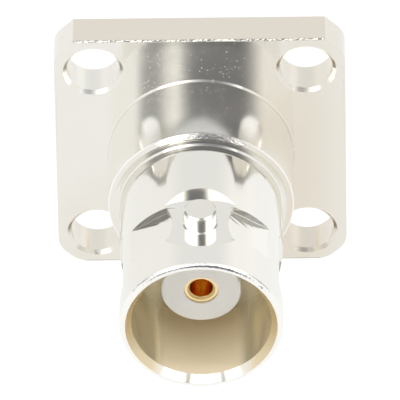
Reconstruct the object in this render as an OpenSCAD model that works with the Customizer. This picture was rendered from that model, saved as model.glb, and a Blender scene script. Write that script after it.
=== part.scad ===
// Square-flange BNC panel socket: bayonet barrel towards the viewer (-Y), panel side towards +Y.
// The origin lies on the barrel axis, in the plane of the flange's rear face. Units are millimetres.

/* [Flange] */
// Width and height of the square mounting flange
flange_w = 17.4; // [16:0.1:22]
// Thickness of the flange
flange_t = 2.1; // [1.6:0.1:4]
// Leg of the 45-degree cut across each of the flange's corners
corner_cut = 1.2; // [0.8:0.05:1.6]
// Radius that blends each corner cut into the flange's left or right side, and the lower two into its foot
corner_blend_r = 1.6; // [1:0.1:2.4]
// Small bevel along the flange's front edge
flange_edge = 0.07; // [0.04:0.01:0.2]
// Distance of each screw hole's centre from the flange's two nearest edges
hole_inset = 2.35; // [2.15:0.05:2.5]
// Diameter of the screw holes
hole_d = 3.2; // [2.2:0.1:3.4]
// Bevel at the front mouth of each screw hole
hole_bevel = 0.2; // [0.06:0.02:0.36]

/* [Boss] */
// Diameter of the stepped boss in front of the flange
boss_d = 11.1; // [10.7:0.1:12]
// Length of the boss in front of the flange
boss_len = 5.05; // [3:0.05:8]
// Bevel round the boss's front edge
boss_bevel = 0.25; // [0.1:0.05:0.4]
// Small bevel in the corner where the boss and the barrel rise from a flat face
root_bevel = 0.1; // [0.04:0.01:0.14]

/* [Barrel] */
// Outer diameter of the barrel
barrel_d = 9.7; // [9.6:0.05:9.95]
// Length of the barrel in front of the boss
barrel_len = 10.85; // [10:0.05:13]
// Diameter of the socket bore that takes the plug
socket_d = 8.3; // [8:0.05:8.35]
// Depth of the socket bore behind the mouth
socket_depth = 5.85; // [4.8:0.05:6.8]
// Length of the lead-in cone inside the mouth
lead_in_len = 0.45; // [0.2:0.05:0.8]
// How far the lead-in cone widens the socket bore
lead_in_rise = 0.35; // [0.1:0.01:0.36]
// Radius of the round on the mouth's outer edge
lip_round = 0.28; // [0.1:0.02:0.3]

/* [Bayonet] */
// Diameter of the two bayonet lugs
lug_d = 1.94; // [1.6:0.02:2.1]
// Distance over the tips of the two lugs
lug_span = 11; // [10.7:0.05:11.6]
// Distance of the lugs' centre behind the mouth
lug_setback = 4.3; // [3.8:0.05:5]
// Bevel at a lug's tip
lug_bevel = 0.1; // [0.04:0.02:0.2]
// Bevel in the corner where a lug rises from its flat
lug_root_bevel = 0.08; // [0.04:0.02:0.2]
// Diameter of the round flats milled into the barrel, one about each lug and one on each side
pad_d = 5.2; // [3.4:0.1:5.6]
// Wall left between a lug's flat and the socket bore
pad_wall = 0.24; // [0.16:0.01:0.32]
// Wall left between a side flat and the socket bore
side_wall = 0.47; // [0.36:0.01:0.58]
// Turn about the axis from a lug to the flat recesses milled on its two sides
recess_angle = 33; // [28:1:40]
// Reach of the recesses behind the lugs' centre
recess_behind = 1.35; // [1.1:0.05:1.8]
// Reach of the recesses ahead of the lugs' centre
recess_ahead = 1.45; // [1.1:0.05:2]
// Wall left between a recess's flat floor and the socket bore
recess_wall = 0.27; // [0.2:0.01:0.4]
// Width of the platform that the recesses leave about each lug, at its waist
platform_w = 3.3; // [2.8:0.1:3.8]
// Radius of the cutter that hollows the platform's sides
platform_cutter_r = 3.3; // [2.6:0.1:6]

/* [Rear spigot] */
// Diameter of the spigot that passes through the panel
spigot_d = 8.4; // [7.8:0.1:9.4]
// Length of the spigot behind the flange
spigot_len = 4.6; // [3:0.1:8]
// Bevel at the spigot's rear edge
spigot_bevel = 0.25; // [0.1:0.05:0.4]
// Thickness of the lip rolled over the rear insulator
lip_t = 0.45; // [0.3:0.05:0.7]
// How far the rolled lip reaches in over the insulator's shoulder
lip_reach = 0.5; // [0.3:0.05:0.8]

/* [Insulators] */
// Diameter of the insulator nose inside the socket
nose_d = 4.75; // [4.2:0.05:5]
// Distance of the nose's face behind the mouth
nose_setback = 3.25; // [2.8:0.05:4.2]
// Bevel round the nose's face
nose_bevel = 0.06; // [0.03:0.01:0.2]
// Diameter of the insulators behind the socket
insulator_d = 6.4; // [5.9:0.1:6.9]
// Thickness of the shell's web that the front insulator seats against
web_t = 2; // [1:0.1:3]
// Length of the front insulator behind the web
front_seat_len = 6; // [3:0.1:7]
// Length of the rear insulator's tail behind the spigot
tail_len = 0.8; // [0.4:0.1:2]

/* [Contact] */
// Distance of the contact's front end behind the insulator's nose face
contact_recess = 0.1; // [0:0.02:0.4]
// Diameter of the bore that takes the plug's pin
pin_bore_d = 1.38; // [1.3:0.02:1.46]
// Depth of the pin bore
pin_bore_depth = 5.2; // [4:0.1:7]
// Lead-in bevel at the pin bore's mouth
pin_lead_in = 0.14; // [0.06:0.02:0.2]
// Outer diameter of the contact's front
contact_d = 2; // [1.9:0.05:2.2]
// Diameter of the collar held between the two insulators
collar_d = 3; // [2.6:0.1:3.6]
// Length of the collar
collar_len = 0.8; // [0.4:0.1:1.4]
// Diameter of the contact's rear stem and its solder cup
stem_d = 2.3; // [2.1:0.05:2.5]
// Length of the solder cup behind the rear insulator
cup_len = 3.8; // [3:0.1:6]
// Diameter of the solder cup's bore
cup_bore_d = 1.6; // [1.2:0.05:1.8]
// Depth of the solder cup's bore
cup_depth = 3.2; // [2.4:0.1:4]
// Length of the opening cut into the cup's upper side
cup_cut_len = 2.1; // [1:0.1:2.3]
// Height of the opening's floor above the contact's axis
cup_cut_rise = 0.15; // [0:0.05:0.4]

/* [Clearances] */
// Radial clearance between an insulator and what it sits in or on
seat_clear = 0.02; // [0.01:0.01:0.05]

/* [Hidden] */
$fn = 96;
// Overshoot of a cut beyond the face that it opens
cut_over = 1;
// Included angle of a drill's point
drill_angle = 118;
// Angle of the corner cuts to the flange's sides
cut_angle = 45;

plating = [0.86, 0.85, 0.81];
ptfe_white = [0.93, 0.92, 0.89];
gold = [0.89, 0.72, 0.36];

hole_r = hole_d / 2;
hole_at = flange_w / 2 - hole_inset;
cut_span = 2 * (flange_w - corner_cut) * sin(cut_angle);
boss_r = boss_d / 2;
barrel_r = barrel_d / 2;
socket_r = socket_d / 2;
lug_r = lug_d / 2;
lug_tip_r = lug_span / 2;
pad_flat_r = socket_r + pad_wall;
side_flat_r = socket_r + side_wall;
recess_flat_r = socket_r + recess_wall;
spigot_r = spigot_d / 2;
nose_r = nose_d / 2;
insulator_r = insulator_d / 2;
tail_r = insulator_r - lip_reach;
pin_bore_r = pin_bore_d / 2;
contact_r = contact_d / 2;
collar_r = collar_d / 2;
stem_r = stem_d / 2;
cup_bore_r = cup_bore_d / 2;

// Stations along the axis, counted forwards from the flange's rear face
boss_face = flange_t + boss_len;
mouth = boss_face + barrel_len;
lug_at = mouth - lug_setback;
socket_floor = mouth - socket_depth;
nose_face = mouth - nose_setback;
web_rear = socket_floor - web_t;
split_at = web_rear - front_seat_len;
spigot_end = -spigot_len;
lip_inner = spigot_end + lip_t;
tail_end = spigot_end - tail_len;
cup_end = tail_end - cup_len;
contact_front = nose_face - contact_recess;
pin_bore_floor = contact_front - pin_bore_depth;
pin_drill_tip = pin_bore_floor - pin_bore_r / tan(drill_angle / 2);
cup_floor = cup_end + cup_depth;
cup_drill_tip = cup_floor + cup_bore_r / tan(drill_angle / 2);

// Turns about the axis at which the lugs, the side flats and the recesses lie
lug_turns = [0, 180];
side_turns = [90, 270];
recess_turns = [for (turn = lug_turns, side = [-1, 1]) turn + side * recess_angle];

// Turns a shape built along +Z so that it points to the front, -Y, with +Y of the shape upwards
module to_front() {
    rotate([90, 0, 0]) children();
}

// Straight band of the given width with both front edges bevelled, longer than the flange is across
module flange_band(width) {
    half_w = width / 2;
    rotate([90, 0, 0])
        linear_extrude(2 * flange_w, center = true)
            polygon([
                [-half_w, 0],
                [half_w, 0],
                [half_w, flange_t - flange_edge],
                [half_w - flange_edge, flange_t],
                [-half_w + flange_edge, flange_t],
                [-half_w, flange_t - flange_edge],
            ]);
}

// Round blend of a corner with the same front bevel, longer than the flange is thick
module corner_round() {
    neck_r = corner_blend_r - 2 * flange_edge;
    rotate_extrude()
        polygon([
            [0, -2 * cut_over],
            [corner_blend_r, -2 * cut_over],
            [corner_blend_r, flange_t - flange_edge],
            [neck_r, flange_t + flange_edge],
            [neck_r, flange_t + 2 * cut_over],
            [0, flange_t + 2 * cut_over],
        ]);
}

// Takes off what stands outside the blend between the right side and the upper right corner cut
module corner_blend_cut() {
    reach = corner_blend_r + cut_over;
    blend_x = flange_w / 2 - corner_blend_r;
    blend_y = flange_w / 2 - corner_cut - corner_blend_r * tan(cut_angle / 2);
    translate([blend_x, blend_y, 0])
        difference() {
            translate([0, 0, -cut_over])
                linear_extrude(flange_t + 2 * cut_over)
                    polygon([[0, 0], [reach, 0], [reach, reach * tan(cut_angle)]]);
            corner_round();
        }
}

// Square plate with its corners cut and blended into the left and right sides, and below also into the foot
module flange_plate() {
    difference() {
        intersection() {
            flange_band(flange_w);
            rotate([0, 0, 90]) flange_band(flange_w);
            rotate([0, 0, cut_angle]) flange_band(cut_span);
            rotate([0, 0, -cut_angle]) flange_band(cut_span);
        }
        for (flip_x = [0, 1], flip_y = [0, 1])
            mirror([flip_x, 0, 0]) mirror([0, flip_y, 0]) corner_blend_cut();
        for (flip_x = [0, 1])
            mirror([flip_x, 0, 0]) mirror([0, 1, 0]) mirror([1, -1, 0]) corner_blend_cut();
    }
}

module screw_holes() {
    for (x = [-hole_at, hole_at], y = [-hole_at, hole_at])
        translate([x, y, 0]) {
            translate([0, 0, -cut_over]) cylinder(h = flange_t + 2 * cut_over, r = hole_r);
            translate([0, 0, flange_t - hole_bevel])
                cylinder(h = hole_bevel + cut_over, r1 = hole_r, r2 = hole_r + hole_bevel + cut_over);
        }
}

// Spigot, boss and barrel as one turned outline
module turned_body() {
    rotate_extrude()
        polygon([
            [0, spigot_end],
            [spigot_r - spigot_bevel, spigot_end],
            [spigot_r, spigot_end + spigot_bevel],
            [spigot_r, flange_t / 2],
            [boss_r + root_bevel, flange_t / 2],
            [boss_r + root_bevel, flange_t],
            [boss_r, flange_t + root_bevel],
            [boss_r, boss_face - boss_bevel],
            [boss_r - boss_bevel, boss_face],
            [barrel_r + root_bevel, boss_face],
            [barrel_r, boss_face + root_bevel],
            [barrel_r, mouth],
            [0, mouth],
        ]);
}

// Square ring less a round, which leaves the mouth's outer edge rounded
module lip_cut() {
    rotate_extrude()
        translate([barrel_r - lip_round, mouth - lip_round])
            difference() {
                square(lip_round + cut_over);
                circle(r = lip_round);
            }
}

// Socket, web hole, insulator bore and lip hole as one turned cut
module turned_bores() {
    rotate_extrude()
        polygon([
            [0, spigot_end - cut_over],
            [tail_r + seat_clear, spigot_end - cut_over],
            [tail_r + seat_clear, lip_inner],
            [insulator_r + seat_clear, lip_inner],
            [insulator_r + seat_clear, web_rear],
            [nose_r + seat_clear, web_rear],
            [nose_r + seat_clear, socket_floor],
            [socket_r, socket_floor],
            [socket_r, mouth - lead_in_len],
            [socket_r + lead_in_rise, mouth],
            [socket_r + lead_in_rise, mouth + cut_over],
            [0, mouth + cut_over],
        ]);
}

// Places a shape built along +Z at the lugs' station, pointing outwards at each turn about the axis
module at_turns(turns) {
    for (turn = turns)
        rotate([0, 0, turn]) translate([0, 0, lug_at]) rotate([-90, 0, 0]) children();
}

// Platform that the recesses leave standing about a lug, with sides hollowed by a round cutter
module platform() {
    half_len = (recess_behind + recess_ahead) / 2 + cut_over;
    cutter_at = platform_w / 2 + platform_cutter_r;
    translate([0, (recess_behind - recess_ahead) / 2, 0])
        difference() {
            translate([-cutter_at, -half_len, 0])
                cube([2 * cutter_at, 2 * half_len, lug_tip_r + cut_over]);
            for (side = [-1, 1])
                translate([side * cutter_at, 0, -cut_over])
                    cylinder(h = lug_tip_r + 3 * cut_over, r = platform_cutter_r);
        }
}

// Flat-floored recesses milled beside the lugs, up to the platforms
module recess_cuts() {
    difference() {
        at_turns(recess_turns)
            translate([-barrel_r, -recess_ahead, recess_flat_r])
                cube([2 * barrel_r, recess_behind + recess_ahead, lug_tip_r - recess_flat_r]);
        at_turns(lug_turns) platform();
    }
}

// Round cutter that leaves a flat at the given distance from the barrel's axis
module flat_cut(flat_r) {
    translate([0, 0, flat_r]) cylinder(h = lug_tip_r, r = pad_d / 2);
}

module lug() {
    lug_root = socket_r + pad_wall / 2;
    translate([0, 0, lug_root]) cylinder(h = lug_tip_r - lug_bevel - lug_root, r = lug_r);
    translate([0, 0, lug_tip_r - lug_bevel]) cylinder(h = lug_bevel, r1 = lug_r, r2 = lug_r - lug_bevel);
    translate([0, 0, pad_flat_r - lug_root_bevel])
        cylinder(h = 2 * lug_root_bevel, r1 = lug_r + 2 * lug_root_bevel, r2 = lug_r);
}

// One-piece turned and milled metal shell
module shell() {
    color(plating) to_front()
        difference() {
            union() {
                flange_plate();
                difference() {
                    turned_body();
                    lip_cut();
                    recess_cuts();
                    at_turns(lug_turns) flat_cut(pad_flat_r);
                    at_turns(side_turns) flat_cut(side_flat_r);
                }
                at_turns(lug_turns) lug();
            }
            turned_bores();
            screw_holes();
        }
}

// Insulator with the white nose seen in the socket, seated against the web from behind
module front_insulator() {
    color(ptfe_white) to_front()
        rotate_extrude()
            polygon([
                [collar_r + seat_clear, split_at],
                [insulator_r, split_at],
                [insulator_r, web_rear],
                [nose_r, web_rear],
                [nose_r, nose_face - nose_bevel],
                [nose_r - nose_bevel, nose_face],
                [contact_r + seat_clear, nose_face],
                [contact_r + seat_clear, split_at + collar_len],
                [collar_r + seat_clear, split_at + collar_len],
            ]);
}

// Insulator behind the contact's collar, held by the rolled lip
module rear_insulator() {
    color(ptfe_white) to_front()
        rotate_extrude()
            polygon([
                [stem_r + seat_clear, tail_end],
                [tail_r, tail_end],
                [tail_r, lip_inner],
                [insulator_r, lip_inner],
                [insulator_r, split_at],
                [stem_r + seat_clear, split_at],
            ]);
}

module contact_outline() {
    rotate_extrude()
        polygon([
            [0, cup_end],
            [stem_r, cup_end],
            [stem_r, split_at],
            [collar_r, split_at],
            [collar_r, split_at + collar_len],
            [contact_r, split_at + collar_len],
            [contact_r, contact_front],
            [0, contact_front],
        ]);
}

module contact_bores() {
    rotate_extrude()
        polygon([
            [0, pin_drill_tip],
            [pin_bore_r, pin_bore_floor],
            [pin_bore_r, contact_front - pin_lead_in],
            [pin_bore_r + pin_lead_in, contact_front],
            [pin_bore_r + pin_lead_in, contact_front + cut_over],
            [0, contact_front + cut_over],
        ]);
    rotate_extrude()
        polygon([
            [0, cup_end - cut_over],
            [cup_bore_r, cup_end - cut_over],
            [cup_bore_r, cup_floor],
            [0, cup_drill_tip],
        ]);
}

// Opening in the cup's upper side, with a round run-out at its front end
module cup_cut() {
    runout_r = stem_r - cup_cut_rise;
    straight_len = cup_cut_len - runout_r;
    translate([-stem_d, cup_cut_rise, cup_end - cut_over])
        cube([2 * stem_d, stem_d, straight_len + cut_over]);
    translate([-stem_d, stem_r, cup_end + straight_len])
        rotate([0, 90, 0]) cylinder(h = 2 * stem_d, r = runout_r);
}

// Gold contact: pin bore in front, collar in the middle, solder cup behind
module centre_contact() {
    color(gold) to_front()
        difference() {
            contact_outline();
            contact_bores();
            cup_cut();
        }
}

shell();
front_insulator();
rear_insulator();
centre_contact();
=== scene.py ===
import math

import bpy
from mathutils import Matrix, Vector


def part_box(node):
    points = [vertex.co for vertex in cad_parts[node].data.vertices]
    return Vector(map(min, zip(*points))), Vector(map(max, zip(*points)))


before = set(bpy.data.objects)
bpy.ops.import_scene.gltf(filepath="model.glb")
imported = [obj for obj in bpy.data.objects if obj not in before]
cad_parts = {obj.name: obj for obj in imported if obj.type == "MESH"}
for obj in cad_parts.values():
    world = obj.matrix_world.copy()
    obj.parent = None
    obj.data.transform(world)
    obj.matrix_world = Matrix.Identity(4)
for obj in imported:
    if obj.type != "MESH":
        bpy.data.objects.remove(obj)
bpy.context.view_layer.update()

MM = 0.001
SHELL_LOW, SHELL_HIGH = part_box("shell")
MOUTH_Y = SHELL_LOW[1]

# Stations of the shell along Y, in metres
REAR_FACE_Y = 0.0
FLANGE_FRONT_Y = -2.1 * MM
BOSS_ROOT_Y = FLANGE_FRONT_Y - 0.12 * MM
BOSS_FACE_Y = -7.15 * MM
LUG_Y = MOUTH_Y + 4.3 * MM
RECESS_FRONT_Y = LUG_Y - 1.5 * MM
RECESS_REAR_Y = LUG_Y + 1.3 * MM
RECESS_WALL_Y = LUG_Y + 1.35 * MM
SOCKET_FLOOR_Y = MOUTH_Y + 5.85 * MM
LEAD_IN_Y = MOUTH_Y + 0.45 * MM
RIM_Y = MOUTH_Y + 0.2 * MM

# Radii and places of its features, in metres
SOCKET_R = 4.15 * MM
LEAD_IN_R = 4.5 * MM
BARREL_R = 4.85 * MM
BOSS_R = 5.55 * MM
PAD_R = 2.6 * MM
PIN_BORE_R = 0.69 * MM
PIN_BEVEL = 0.13 * MM
HOLE_R = 1.6 * MM
HOLE_BEVEL = 0.22 * MM
HOLE_OFFSET = 6.35 * MM

# Widths of the masks' soft edges
HAIR_EDGE = 0.01 * MM
FINE_EDGE = 0.02 * MM
SOFT_EDGE = 0.05 * MM

# Camera fitted to the photograph: the flange's front centre lies at this pixel of the 400 x 400 image
IMAGE_PX = 400
FLANGE_CENTRE_PX = (201.05, 151.17)
PX_PER_MM = 16.663
CAMERA_DISTANCE = 700 * MM
CAMERA_AZIMUTH = math.radians(0.62)
CAMERA_ELEVATION = math.radians(40.94)
CAMERA_ROLL = math.radians(-1.03)
CAMERA_CLIP = (0.01, 100)
SENSOR_MM = 36.0

# Light is followed this far between mirroring walls, as in the bores and the screw holes
MIRROR_BOUNCES = 16

FLOOR_DROP = 60 * MM
FLOOR_SIZE = 4.0
FLOOR_GREY = 0.77
CAMERA_GLOW = 0.14
MIRROR_GLOW = 0.05

# Colours of the plating, as linear red, green, blue and alpha
PLATE_PALE = (0.85, 0.828, 0.768, 1)
PLATE_LOWER_RIGHT = (0.77, 0.715, 0.615, 1)
PLATE_TOP = (0.83, 0.77, 0.67, 1)
# Painted highlight on the boss's sides, and painted shade on the middle of its front
BOSS_PAINTED_HIGHLIGHT = (1.0, 0.99, 0.96, 1)
BOSS_FRONT_PAINTED_SHADE = (0.70, 0.685, 0.64, 1)
# Painted highlight on the right side of the barrel
BARREL_RIGHT_HIGHLIGHT = (0.89, 0.88, 0.83, 1)
# Painted shade on the rear wall of the left recess
LEFT_WALL_SHADE = (0.56, 0.545, 0.51, 1)
# Painted highlight on the rounded rim of the mouth
RIM_HIGHLIGHT = (0.96, 0.95, 0.90, 1)
SOCKET_BRASS = (1.0, 0.88, 0.66, 1)
SOCKET_OLIVE = (0.95, 0.89, 0.70, 1)
# Painted shade deep in the socket, towards its floor
SOCKET_OLIVE_SHADED = (0.66, 0.615, 0.48, 1)
CONE_PLATED = (0.86, 0.82, 0.73, 1)
CONE_SIDE_BROWN = (0.80, 0.68, 0.46, 1)

# The plating grows darker and warmer from the upper left to the lower right, less so at the right edge
DARKENING_SLANT = -0.8
DARKENING_WANDER = 10 * MM
DARKENING_SPAN = (-8 * MM, 7 * MM)
RIGHT_EDGE_X = (6 * MM, 9 * MM)
RIGHT_EDGE_SHARE = 0.3

# Painted light on the boss: a painted highlight makes its sides paler, and painted shade darkens the middle
# of its front
BOSS_HIGHLIGHT_X = (2.5 * MM, 4.0 * MM)
BOSS_HIGHLIGHT_SHARE = (0.4, 0.85)
BOSS_SHADE_Y = (BOSS_FACE_Y + 0.8 * MM, BOSS_FACE_Y + 2.2 * MM)
BOSS_SHADE_X = (2.2 * MM, 3.4 * MM)

# Inside the socket the sides are barer metal than the middle, and the floor lies between the two
SOCKET_SIDE_X = (2.0 * MM, 3.0 * MM)
SOCKET_FLOOR_SHARE = 0.6
# Span of Y over which painted shade darkens the socket's sides and floor
SOCKET_SHADE_Y = (SOCKET_FLOOR_Y - 2.6 * MM, SOCKET_FLOOR_Y - 0.4 * MM)
SOCKET_METALLIC = (0.28, 0.75)
CONE_SIDE_X = (2.4 * MM, 3.2 * MM)
CONE_SIDE_WANDER = MM

# Roughness: a range that follows the clouds, and what each zone of the plating adds to it
CLOUD_RANGE = (0.3, 0.7)
PLATE_ROUGHNESS = (0.06, 0.10)
BOSS_SATIN = 0.09
MILLED_SATIN = 0.05
BORE_SATIN = 0.06
CONE_SATIN = 0.05
CONE_SIDE_SATIN = 0.2
HOLE_SATIN = 0.12
REAR_SATIN = 0.14

# Texture scales of the plating, per metre
CLOUD_SCALE = 260.0
WAVE_SCALE = 500.0
BRUSH_SCALE = 14000.0
TURNING_SCALE = 16000.0
PIT_SCALE = 8500.0
PIT_CROWD_SCALE = 520.0
NICK_SCALE = 5000.0
CHATTER_SCALE = 5000.0

# Bumps of the plating, as strength and distance
WAVE_BUMP = (0.3, 0.02 * MM)
LINE_BUMP = (0.25, 0.003 * MM)
PIT_BUMP = (0.4, 0.015 * MM)
NICK_BUMP = (1.0, 0.04 * MM)
CHATTER_BUMP = (1.0, 0.025 * MM)

# How far the lines stretch along the brush, and round the axis for each radian of turn
BRUSH_STRETCH = 0.04
TURNING_STRETCH = 0.02 * MM

# Pits: the share of cells left whole where they are few and where they crowd, and a pit's size in its cell
PIT_CROWD_RANGE = (0.45, 0.75)
PIT_WHOLE_SHARE = (0.993, 0.78)
PIT_CELL_RANGE = (0.12, 0.42)

# Depth of the nicks on the boss and the rim against those on the flange
BOSS_NICKS = 0.25
RIM_NICKS = 0.5

# Cutter marks: their slant, their stretch along the cut and their depth on the left against the right
CHATTER_TURN = 0.4 * SOCKET_R
CHATTER_ALONG = 0.9
CHATTER_STRETCH = 0.5 * MM
CHATTER_LEFT = 0.8

PTFE_DULL = (0.97, 0.965, 0.935, 1)
PTFE_WHITE = (0.99, 0.985, 0.965, 1)
PTFE_ROUGHNESS = (0.38, 0.5)
PTFE_CLOUD_SCALE = 700.0
PTFE_SUBSURFACE = 0.2
PTFE_SUBSURFACE_RADIUS = (1.0, 0.95, 0.85)
PTFE_SUBSURFACE_SCALE = 0.6 * MM
PTFE_RING_SCALE = 9000.0
PTFE_RING_ALONG = 0.3
PTFE_BUMP = (0.2, 0.004 * MM)

GOLD_DEEP = (0.90, 0.68, 0.33, 1)
GOLD_PALE = (0.94, 0.75, 0.42, 1)
GOLD_ROUGHNESS = (0.10, 0.16)
GOLD_BEVEL_SATIN = 0.5
GOLD_CLOUD_SCALE = 900.0
GOLD_RING_SCALE = 12000.0
GOLD_BUMP = (0.15, 0.003 * MM)

STUDIO_WHITE = (1.0, 1.0, 1.0, 1)

# Long soft boxes round the front and both sides:
# the sines of their lowest and highest elevation, and the ray's Y at which they end towards the back
STRIP_LIGHT = (2.25, 2.25, 2.25, 1)
STRIP_LOW = math.sin(math.radians(35))
STRIP_HIGH = math.sin(math.radians(53))
STRIP_EDGE = 0.04
STRIP_END_Y = (0.5, 0.66)

# Round zones of the studio, each laid over those before it:
# azimuth and elevation, angles at which it is full and gone (all in degrees), and its radiance
ZONES = (
    (5, 68, 10, 22, (2.4, 2.4, 2.4, 1)),          # lamp overhead
    (33, 58.5, 2, 4.5, (0.35, 0.35, 0.35, 1)),    # lamp head on the right
    (-46, 52, 2, 4.5, (0.5, 0.5, 0.5, 1)),        # lamp head on the left
    (-112, 14, 8, 25, (0.42, 0.43, 0.45, 1)),     # grey screen on the left
    (112, 10, 8, 25, (0.45, 0.46, 0.48, 1)),      # grey screen on the right
    (180, 4, 6, 22, (0.5, 0.51, 0.53, 1)),        # grey screen low behind
    (180, 76, 5, 16, (0.45, 0.46, 0.48, 1)),      # grey screen high behind
    (148, 24, 8, 24, (1.06, 1.06, 1.06, 1)),      # pale panel on the right behind
    (180, 44, 12, 34, (0.9, 0.91, 0.92, 1)),      # pale wall behind
    (10, 25, 20, 38, (0.21, 0.218, 0.245, 1)),    # dark room behind the camera
    (-33, 14.5, 1, 17, (0.38, 0.39, 0.41, 1)),    # narrow dark stand beside the camera
)

# Sockets of the Mix node that carry colours
MIX_A = 6
MIX_B = 7
MIX_RESULT = 2


def direction(azimuth, elevation):
    """Unit vector towards an azimuth (0 in front, positive to the right) and elevation in radians."""
    return Vector((math.sin(azimuth) * math.cos(elevation),
                   -math.cos(azimuth) * math.cos(elevation),
                   math.sin(elevation)))


def camera_axes():
    """Right, up and backward directions of the photograph's camera."""
    back = direction(CAMERA_AZIMUTH, CAMERA_ELEVATION)
    right = direction(CAMERA_AZIMUTH + math.pi / 2, 0.0)
    up = back.cross(right)
    turned_right = math.cos(CAMERA_ROLL) * right + math.sin(CAMERA_ROLL) * up
    turned_up = math.cos(CAMERA_ROLL) * up - math.sin(CAMERA_ROLL) * right
    return turned_right, turned_up, back


def add_camera():
    right, up, back = camera_axes()
    off_x = (FLANGE_CENTRE_PX[0] - IMAGE_PX / 2) / PX_PER_MM * MM
    off_y = (IMAGE_PX / 2 - FLANGE_CENTRE_PX[1]) / PX_PER_MM * MM
    target = Vector((0, FLANGE_FRONT_Y, 0)) - off_x * right - off_y * up
    data = bpy.data.cameras.new("camera")
    data.sensor_width = SENSOR_MM
    data.lens = PX_PER_MM / MM * CAMERA_DISTANCE / IMAGE_PX * SENSOR_MM
    data.clip_start, data.clip_end = CAMERA_CLIP
    camera = bpy.data.objects.new("camera", data)
    turn = Matrix((right, up, back)).transposed().to_4x4()
    camera.matrix_world = Matrix.Translation(target + CAMERA_DISTANCE * back) @ turn
    bpy.context.scene.collection.objects.link(camera)
    bpy.context.scene.camera = camera


class Nodes:
    """Short way to build a node tree."""

    def __init__(self, tree):
        self.tree = tree
        self.tree.nodes.clear()

    def add(self, kind, **settings):
        node = self.tree.nodes.new(kind)
        for name, value in settings.items():
            setattr(node, name, value)
        return node

    def put(self, socket, value):
        """Links a socket, or sets its constant."""
        if isinstance(value, bpy.types.NodeSocket):
            self.tree.links.new(value, socket)
        else:
            socket.default_value = value

    def math(self, operation, *values):
        node = self.add("ShaderNodeMath", operation=operation)
        for socket, value in zip(node.inputs, values):
            self.put(socket, value)
        return node.outputs[0]

    def times(self, first, *others):
        for other in others:
            first = self.math("MULTIPLY", first, other)
        return first

    def size(self, value):
        """The value without its sign."""
        return self.math("ABSOLUTE", value)

    def rest(self, share):
        """What a share leaves of one."""
        return self.math("SUBTRACT", 1.0, share)

    def length(self, a, b):
        """Length of a vector with these two components."""
        return self.math("SQRT", self.math("ADD", self.times(a, a), self.times(b, b)))

    def smooth(self, value, low, high, to_low, to_high):
        """Smooth step of a value, from to_low at low to to_high at high."""
        node = self.add("ShaderNodeMapRange", interpolation_type="SMOOTHSTEP")
        for socket, entry in zip(node.inputs, (value, low, high, to_low, to_high)):
            self.put(socket, entry)
        return node.outputs[0]

    def rise(self, value, low, high):
        """Zero up to low, one from high on."""
        return self.smooth(value, low, high, 0.0, 1.0)

    def fall(self, value, low, high):
        """One up to low, zero from high on."""
        return self.smooth(value, low, high, 1.0, 0.0)

    def band(self, value, low, high, edge):
        """One between low and high, with soft edges outside them."""
        return self.times(self.rise(value, low - edge, low), self.fall(value, high, high + edge))

    def mix(self, factor, a, b):
        node = self.add("ShaderNodeMix", data_type="RGBA")
        self.put(node.inputs["Factor"], factor)
        self.put(node.inputs[MIX_A], a)
        self.put(node.inputs[MIX_B], b)
        return node.outputs[MIX_RESULT]

    def noise(self, vector, scale, detail=2.0):
        node = self.add("ShaderNodeTexNoise")
        self.put(node.inputs["Vector"], vector)
        node.inputs["Scale"].default_value = scale
        node.inputs["Detail"].default_value = detail
        return node.outputs["Fac"]

    def combine(self, x, y, z):
        node = self.add("ShaderNodeCombineXYZ")
        for socket, value in zip(node.inputs, (x, y, z)):
            self.put(socket, value)
        return node.outputs[0]

    def bump(self, height, strength, distance, normal=None):
        node = self.add("ShaderNodeBump")
        node.inputs["Strength"].default_value = strength
        node.inputs["Distance"].default_value = distance
        self.put(node.inputs["Height"], height)
        if normal is not None:
            self.put(node.inputs["Normal"], normal)
        return node.outputs[0]


class Place:
    """Where a shaded point lies: its coordinates, its distance from the axis and its turn about it."""

    def __init__(self, nodes):
        coords = nodes.add("ShaderNodeTexCoord")
        self.point = coords.outputs["Object"]
        split = nodes.add("ShaderNodeSeparateXYZ")
        nodes.put(split.inputs[0], self.point)
        self.x, self.y, self.z = split.outputs
        self.off_x = nodes.size(self.x)
        self.off_z = nodes.size(self.z)
        self.radius = nodes.length(self.x, self.z)
        self.turn = nodes.math("ARCTAN2", self.x, self.z)


def new_material(name):
    material = bpy.data.materials.new(name)
    material.use_nodes = True
    return material, Nodes(material.node_tree)


def finish_material(nodes, shader):
    output = nodes.add("ShaderNodeOutputMaterial")
    nodes.put(output.inputs["Surface"], shader.outputs[0])


def socket_masks(nodes, place):
    """One on the socket's bore and floor, and one on its lead-in cone."""
    bore = nodes.times(nodes.fall(place.radius, SOCKET_R + 0.03 * MM, SOCKET_R + 0.06 * MM),
                       nodes.rise(place.y, LEAD_IN_Y, LEAD_IN_Y + FINE_EDGE),
                       nodes.fall(place.y, SOCKET_FLOOR_Y, SOCKET_FLOOR_Y + 0.2 * MM))
    cone = nodes.times(nodes.fall(place.radius, LEAD_IN_R, LEAD_IN_R + FINE_EDGE),
                       nodes.fall(place.y, LEAD_IN_Y, LEAD_IN_Y + FINE_EDGE))
    return bore, cone


def socket_side_mask(nodes, place):
    """One on the left and right of the socket's bore, and an even share on its floor."""
    on_floor = nodes.rise(place.y, SOCKET_FLOOR_Y - 0.05 * MM, SOCKET_FLOOR_Y - 0.02 * MM)
    side = nodes.rise(place.off_x, *SOCKET_SIDE_X)
    change = nodes.math("SUBTRACT", SOCKET_FLOOR_SHARE, side)
    return nodes.math("MULTIPLY_ADD", on_floor, change, side)


def cone_side_mask(nodes, place, sway):
    """One on the left and right of the lead-in cone, where it is browner and rougher."""
    swayed = nodes.math("MULTIPLY_ADD", sway, CONE_SIDE_WANDER, place.x)
    return nodes.rise(nodes.size(swayed), *CONE_SIDE_X)


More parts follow.
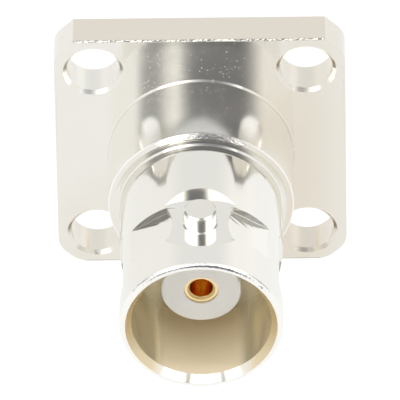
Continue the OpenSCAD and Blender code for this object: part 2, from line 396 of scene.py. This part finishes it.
def rim_mask(nodes, place):
    """One on the rounded rim of the mouth."""
    return nodes.times(nodes.fall(place.y, RIM_Y, RIM_Y + 0.1 * MM),
                       nodes.rise(place.radius, LEAD_IN_R, LEAD_IN_R + FINE_EDGE))


def right_of_barrel_highlight_mask(nodes, place):
    """One on the right side of the barrel, where a painted highlight makes the plating brighter."""
    return nodes.times(nodes.band(place.radius, SOCKET_R + 0.2 * MM, BARREL_R + 0.02 * MM, FINE_EDGE),
                       nodes.fall(place.y, BOSS_FACE_Y - 0.1 * MM, BOSS_FACE_Y),
                       nodes.rise(place.x, 2.4 * MM, 3.4 * MM))


def boss_mask(nodes, place):
    """One on the boss's turned side."""
    return nodes.times(nodes.band(place.y, BOSS_FACE_Y, BOSS_ROOT_Y, FINE_EDGE),
                       nodes.rise(place.radius, BOSS_R - 0.1 * MM, BOSS_R - 0.05 * MM))


def outside_socket(nodes, place):
    """One outside the socket's bore."""
    return nodes.rise(place.radius, SOCKET_R + 0.1 * MM, SOCKET_R + 0.12 * MM)


def sunk_mask(nodes, place):
    """One below the barrel's turned surface, outside the socket's bore."""
    return nodes.times(nodes.fall(place.radius, BARREL_R - 0.03 * MM, BARREL_R - 0.02 * MM),
                       outside_socket(nodes, place))


def recess_mask(nodes, place):
    """One on the flat recesses beside the lugs."""
    return nodes.times(nodes.band(place.y, RECESS_FRONT_Y, RECESS_REAR_Y, SOFT_EDGE),
                       nodes.rise(place.off_x, 1.6 * MM, 1.9 * MM),
                       sunk_mask(nodes, place))


def left_wall_shade_mask(nodes, place):
    """One on the rear wall of the left recess, darkened with painted shade."""
    at_wall = nodes.band(place.y, RECESS_WALL_Y - 0.02 * MM, RECESS_WALL_Y + 0.02 * MM, HAIR_EDGE)
    return nodes.times(at_wall, nodes.fall(place.x, -1.6 * MM, -1.4 * MM), sunk_mask(nodes, place))


def hole_mask(nodes, place):
    """One on the walls and bevels of the four screw holes."""
    reach = nodes.length(nodes.math("SUBTRACT", place.off_x, HOLE_OFFSET),
                         nodes.math("SUBTRACT", place.off_z, HOLE_OFFSET))
    return nodes.times(nodes.fall(reach, HOLE_R + HOLE_BEVEL, HOLE_R + HOLE_BEVEL + 0.04 * MM),
                       nodes.rise(place.y, FLANGE_FRONT_Y + 0.005 * MM, FLANGE_FRONT_Y + 0.015 * MM))


def milled_mask(nodes, place):
    """One on the lugs and on the flats and recesses milled round them."""
    on_barrel = nodes.band(place.radius, BARREL_R - 0.02 * MM, BARREL_R + 0.02 * MM, HAIR_EDGE)
    return nodes.times(nodes.band(place.y, LUG_Y - PAD_R, LUG_Y + PAD_R, SOFT_EDGE),
                       nodes.rest(on_barrel), outside_socket(nodes, place))


def pit_height(nodes, place):
    """Sparse small pits in the plating off the barrel, thicker in some places than in others."""
    cells = nodes.add("ShaderNodeTexVoronoi")
    nodes.put(cells.inputs["Vector"], place.point)
    cells.inputs["Scale"].default_value = PIT_SCALE
    chance = nodes.add("ShaderNodeSeparateColor")
    nodes.put(chance.inputs[0], cells.outputs["Color"])
    crowd = nodes.smooth(nodes.noise(place.point, PIT_CROWD_SCALE), *PIT_CROWD_RANGE, *PIT_WHOLE_SHARE)
    chosen = nodes.math("GREATER_THAN", chance.outputs[0], crowd)
    off_barrel = nodes.rise(place.radius, BARREL_R + 0.1 * MM, BARREL_R + 0.2 * MM)
    depth = nodes.smooth(cells.outputs["Distance"], *PIT_CELL_RANGE, -1.0, 0.0)
    return nodes.times(chosen, off_barrel, depth)


def brush_height(nodes, place):
    """Fine level brush lines on the flange, and turning lines round the boss and the barrel."""
    brushed = nodes.combine(nodes.times(place.x, BRUSH_STRETCH),
                            nodes.times(place.y, BRUSH_STRETCH), place.z)
    turned = nodes.combine(place.y, 0.0, nodes.times(place.turn, TURNING_STRETCH))
    on_flange = nodes.rise(place.y, FLANGE_FRONT_Y - 0.1 * MM, FLANGE_FRONT_Y - 0.05 * MM)
    return nodes.math("ADD", nodes.times(nodes.noise(brushed, BRUSH_SCALE), on_flange),
                      nodes.times(nodes.noise(turned, TURNING_SCALE), nodes.rest(on_flange)))


def nick_height(nodes, place):
    """Small nicks along the front edges of the flange and, fainter, of the boss and the mouth."""
    off_axis = nodes.math("MAXIMUM", place.off_x, place.off_z)
    on_edge = nodes.times(nodes.band(place.y, FLANGE_FRONT_Y, FLANGE_FRONT_Y + 0.08 * MM, FINE_EDGE),
                          nodes.rise(off_axis, SHELL_HIGH[0] - 0.12 * MM, SHELL_HIGH[0] - 0.08 * MM))
    on_boss = nodes.times(nodes.band(place.y, BOSS_FACE_Y, BOSS_FACE_Y + 0.3 * MM, FINE_EDGE),
                          nodes.smooth(place.radius, BOSS_R - 0.4 * MM, BOSS_R - 0.3 * MM, 0.0, BOSS_NICKS))
    on_rim = nodes.times(rim_mask(nodes, place), RIM_NICKS)
    worn = nodes.math("MAXIMUM", nodes.math("MAXIMUM", on_edge, on_boss), on_rim)
    return nodes.times(worn, nodes.noise(place.point, NICK_SCALE))


def chatter_height(nodes, place):
    """Slanting cutter marks on the flat recesses beside the lugs, deeper on the right."""
    across = nodes.math("MULTIPLY_ADD", place.turn, CHATTER_TURN, nodes.times(place.y, CHATTER_ALONG))
    slanted = nodes.combine(across, nodes.times(place.turn, CHATTER_STRETCH), 0.0)
    depth = nodes.smooth(place.x, -0.5 * MM, 0.5 * MM, CHATTER_LEFT, 1.0)
    return nodes.times(nodes.noise(slanted, CHATTER_SCALE, 1.0), recess_mask(nodes, place), depth)


def flange_colour(nodes, place, sway):
    """Pale plating that is darker and warmer towards the lower right, with a warm top face."""
    across = nodes.math("MULTIPLY_ADD", place.z, DARKENING_SLANT, place.x)
    drift = nodes.math("MULTIPLY_ADD", sway, DARKENING_WANDER, across)
    lower_right_darkening = nodes.times(nodes.rise(drift, *DARKENING_SPAN),
                          nodes.smooth(place.x, *RIGHT_EDGE_X, 1.0, RIGHT_EDGE_SHARE),
                          nodes.rise(place.radius, BARREL_R + 0.1 * MM, BARREL_R + 0.4 * MM))
    colour = nodes.mix(lower_right_darkening, PLATE_PALE, PLATE_LOWER_RIGHT)
    on_top = nodes.rise(place.z, SHELL_HIGH[2] - 0.06 * MM, SHELL_HIGH[2] - 0.01 * MM)
    return nodes.mix(on_top, colour, PLATE_TOP)


def outer_colour(nodes, place, boss, sway):
    """Colour of the shell outside its socket, with painted highlights on the boss's sides, the barrel's
    right and the rim, and painted shade on the boss's front and the left recess wall.
    """
    boss_highlight = nodes.times(boss, nodes.smooth(place.off_x, *BOSS_HIGHLIGHT_X, *BOSS_HIGHLIGHT_SHARE))
    boss_front_shade = nodes.times(boss, nodes.fall(place.y, *BOSS_SHADE_Y),
                             nodes.fall(place.off_x, *BOSS_SHADE_X))
    colour = flange_colour(nodes, place, sway)
    for mask, tone in ((boss_highlight, BOSS_PAINTED_HIGHLIGHT), (boss_front_shade, BOSS_FRONT_PAINTED_SHADE),
                       (right_of_barrel_highlight_mask(nodes, place), BARREL_RIGHT_HIGHLIGHT),
                       (left_wall_shade_mask(nodes, place), LEFT_WALL_SHADE),
                       (rim_mask(nodes, place), RIM_HIGHLIGHT)):
        colour = nodes.mix(mask, colour, tone)
    return colour


def socket_colour(nodes, place, side):
    """Brassy in the middle of the socket's bore, olive at its sides, and darkened with painted shade
    towards its floor.
    """
    deep_shade = nodes.rise(place.y, *SOCKET_SHADE_Y)
    return nodes.mix(side, SOCKET_BRASS, nodes.mix(deep_shade, SOCKET_OLIVE, SOCKET_OLIVE_SHADED))


def plating_normal(nodes, place):
    """Waves, brush and turning lines, pits, nicks and cutter marks, one upon the other."""
    normal = None
    for height, relief in ((nodes.noise(place.point, WAVE_SCALE), WAVE_BUMP),
                           (brush_height(nodes, place), LINE_BUMP),
                           (pit_height(nodes, place), PIT_BUMP),
                           (nick_height(nodes, place), NICK_BUMP),
                           (chatter_height(nodes, place), CHATTER_BUMP)):
        normal = nodes.bump(height, *relief, normal)
    return normal


def plating_material():
    """Bright plated metal, darker towards the lower right, pitted and brushed, with painted highlights and
    painted shade, and brassy inside the socket.
    """
    material, nodes = new_material("plating")
    place = Place(nodes)
    shader = nodes.add("ShaderNodeBsdfPrincipled")
    cloud = nodes.noise(place.point, CLOUD_SCALE, 4.0)
    sway = nodes.math("SUBTRACT", cloud, 0.5)
    bore, cone = socket_masks(nodes, place)
    side = socket_side_mask(nodes, place)
    cone_side = cone_side_mask(nodes, place, sway)
    boss = boss_mask(nodes, place)

    colour = outer_colour(nodes, place, boss, sway)
    colour = nodes.mix(bore, colour, socket_colour(nodes, place, side))
    colour = nodes.mix(cone, colour, nodes.mix(cone_side, CONE_PLATED, CONE_SIDE_BROWN))
    nodes.put(shader.inputs["Base Color"], colour)
    bore_metallic = nodes.smooth(side, 0.0, 1.0, *SOCKET_METALLIC)
    nodes.put(shader.inputs["Metallic"], nodes.smooth(bore, 0.0, 1.0, 1.0, bore_metallic))

    rear = nodes.rise(place.y, REAR_FACE_Y - 0.05 * MM, REAR_FACE_Y - 0.02 * MM)
    rough = nodes.smooth(cloud, *CLOUD_RANGE, *PLATE_ROUGHNESS)
    for mask, extra in ((boss, BOSS_SATIN), (milled_mask(nodes, place), MILLED_SATIN),
                        (bore, BORE_SATIN), (cone, CONE_SATIN),
                        (nodes.times(cone, cone_side), CONE_SIDE_SATIN),
                        (hole_mask(nodes, place), HOLE_SATIN), (rear, REAR_SATIN)):
        rough = nodes.math("MULTIPLY_ADD", mask, extra, rough)
    nodes.put(shader.inputs["Roughness"], rough)
    nodes.put(shader.inputs["Normal"], plating_normal(nodes, place))
    finish_material(nodes, shader)
    return material


def ptfe_material():
    """White waxy insulator with a soft translucent depth and faint turning marks."""
    material, nodes = new_material("ptfe")
    place = Place(nodes)
    shader = nodes.add("ShaderNodeBsdfPrincipled")
    cloud = nodes.noise(place.point, PTFE_CLOUD_SCALE, 4.0)
    nodes.put(shader.inputs["Base Color"], nodes.mix(cloud, PTFE_DULL, PTFE_WHITE))
    nodes.put(shader.inputs["Roughness"], nodes.smooth(cloud, *CLOUD_RANGE, *PTFE_ROUGHNESS))
    shader.inputs["Subsurface Weight"].default_value = PTFE_SUBSURFACE
    shader.inputs["Subsurface Radius"].default_value = PTFE_SUBSURFACE_RADIUS
    shader.inputs["Subsurface Scale"].default_value = PTFE_SUBSURFACE_SCALE
    rings = nodes.combine(place.radius, nodes.times(place.y, PTFE_RING_ALONG), 0.0)
    nodes.put(shader.inputs["Normal"], nodes.bump(nodes.noise(rings, PTFE_RING_SCALE), *PTFE_BUMP))
    finish_material(nodes, shader)
    return material


def gold_material():
    """Gold plating with a slight cloudiness and faint turning marks, satin on the bevel of its pin bore."""
    material, nodes = new_material("gold_plating")
    place = Place(nodes)
    shader = nodes.add("ShaderNodeBsdfPrincipled")
    shader.inputs["Metallic"].default_value = 1.0
    cloud = nodes.noise(place.point, GOLD_CLOUD_SCALE, 3.0)
    nodes.put(shader.inputs["Base Color"], nodes.mix(cloud, GOLD_DEEP, GOLD_PALE))
    polish = nodes.smooth(cloud, *CLOUD_RANGE, *GOLD_ROUGHNESS)
    bevel = nodes.band(place.radius, PIN_BORE_R + 0.015 * MM, PIN_BORE_R + PIN_BEVEL, HAIR_EDGE)
    nodes.put(shader.inputs["Roughness"], nodes.math("MULTIPLY_ADD", bevel, GOLD_BEVEL_SATIN, polish))
    rings = nodes.combine(place.radius, place.y, 0.0)
    nodes.put(shader.inputs["Normal"], nodes.bump(nodes.noise(rings, GOLD_RING_SCALE), *GOLD_BUMP))
    finish_material(nodes, shader)
    return material


def dress(node_name, material):
    """Gives a CAD node its material and shades each of its surfaces smoothly."""
    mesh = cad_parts[node_name].data
    normals = mesh.attributes.get("custom_normal")
    if normals is not None:
        mesh.attributes.remove(normals)
    mesh.shade_smooth()
    mesh.materials.clear()
    mesh.materials.append(material)


def add_zone(nodes, ray, below, azimuth, elevation, full, gone, radiance):
    """Lays a round zone of the studio over what is below: full to one angle, gone at the other."""
    dot = nodes.add("ShaderNodeVectorMath", operation="DOT_PRODUCT")
    nodes.put(dot.inputs[0], ray)
    nodes.put(dot.inputs[1], direction(math.radians(azimuth), math.radians(elevation)))
    inside = nodes.rise(dot.outputs["Value"], math.cos(math.radians(gone)), math.cos(math.radians(full)))
    return nodes.mix(inside, below, radiance)


def strip_mask(nodes, ray):
    """One on the long soft boxes that stand round the front and both sides."""
    split = nodes.add("ShaderNodeSeparateXYZ")
    nodes.put(split.inputs[0], ray)
    ray_y, ray_z = split.outputs[1:]
    return nodes.times(nodes.band(ray_z, STRIP_LOW, STRIP_HIGH, STRIP_EDGE),
                       nodes.fall(ray_y, *STRIP_END_Y))


def add_world():
    """White studio with soft boxes, a lamp, grey screens and a dark room; the camera itself sees white."""
    world = bpy.data.worlds.new("studio")
    world.use_nodes = True
    bpy.context.scene.world = world
    nodes = Nodes(world.node_tree)
    ray = nodes.add("ShaderNodeTexCoord").outputs["Generated"]
    light = nodes.mix(strip_mask(nodes, ray), STUDIO_WHITE, STRIP_LIGHT)
    for zone in ZONES:
        light = add_zone(nodes, ray, light, *zone)
    background = nodes.add("ShaderNodeBackground")
    camera_ray = nodes.add("ShaderNodeLightPath").outputs["Is Camera Ray"]
    nodes.put(background.inputs["Color"], nodes.mix(camera_ray, light, STUDIO_WHITE))
    output = nodes.add("ShaderNodeOutputWorld")
    nodes.put(output.inputs["Surface"], background.outputs[0])


def floor_material():
    """Pale matte floor; a little glow for the camera and for mirrors makes it white."""
    material, nodes = new_material("floor")
    matte = nodes.add("ShaderNodeBsdfDiffuse")
    matte.inputs["Color"].default_value = (FLOOR_GREY, FLOOR_GREY, FLOOR_GREY, 1)
    rays = nodes.add("ShaderNodeLightPath")
    for_mirrors = nodes.times(rays.outputs["Is Glossy Ray"], MIRROR_GLOW)
    glow = nodes.add("ShaderNodeEmission")
    nodes.put(glow.inputs["Strength"],
              nodes.math("MULTIPLY_ADD", rays.outputs["Is Camera Ray"], CAMERA_GLOW, for_mirrors))
    both = nodes.add("ShaderNodeAddShader")
    nodes.put(both.inputs[0], matte.outputs[0])
    nodes.put(both.inputs[1], glow.outputs[0])
    finish_material(nodes, both)
    return material


def add_floor():
    """Floor well below the part."""
    mesh = bpy.data.meshes.new("floor")
    half = FLOOR_SIZE / 2
    z = SHELL_LOW[2] - FLOOR_DROP
    corners = [(-half, -half, z), (half, -half, z), (half, half, z), (-half, half, z)]
    mesh.from_pydata(corners, [], [(0, 1, 2, 3)])
    floor = bpy.data.objects.new("floor", mesh)
    bpy.context.scene.collection.objects.link(floor)
    mesh.materials.append(floor_material())


add_camera()
dress("shell", plating_material())
ptfe = ptfe_material()
dress("front_insulator", ptfe)
dress("rear_insulator", ptfe)
dress("centre_contact", gold_material())
add_world()
add_floor()

bpy.context.scene.view_settings.view_transform = "Standard"
bpy.context.scene.cycles.max_bounces = MIRROR_BOUNCES
bpy.context.scene.cycles.glossy_bounces = MIRROR_BOUNCES
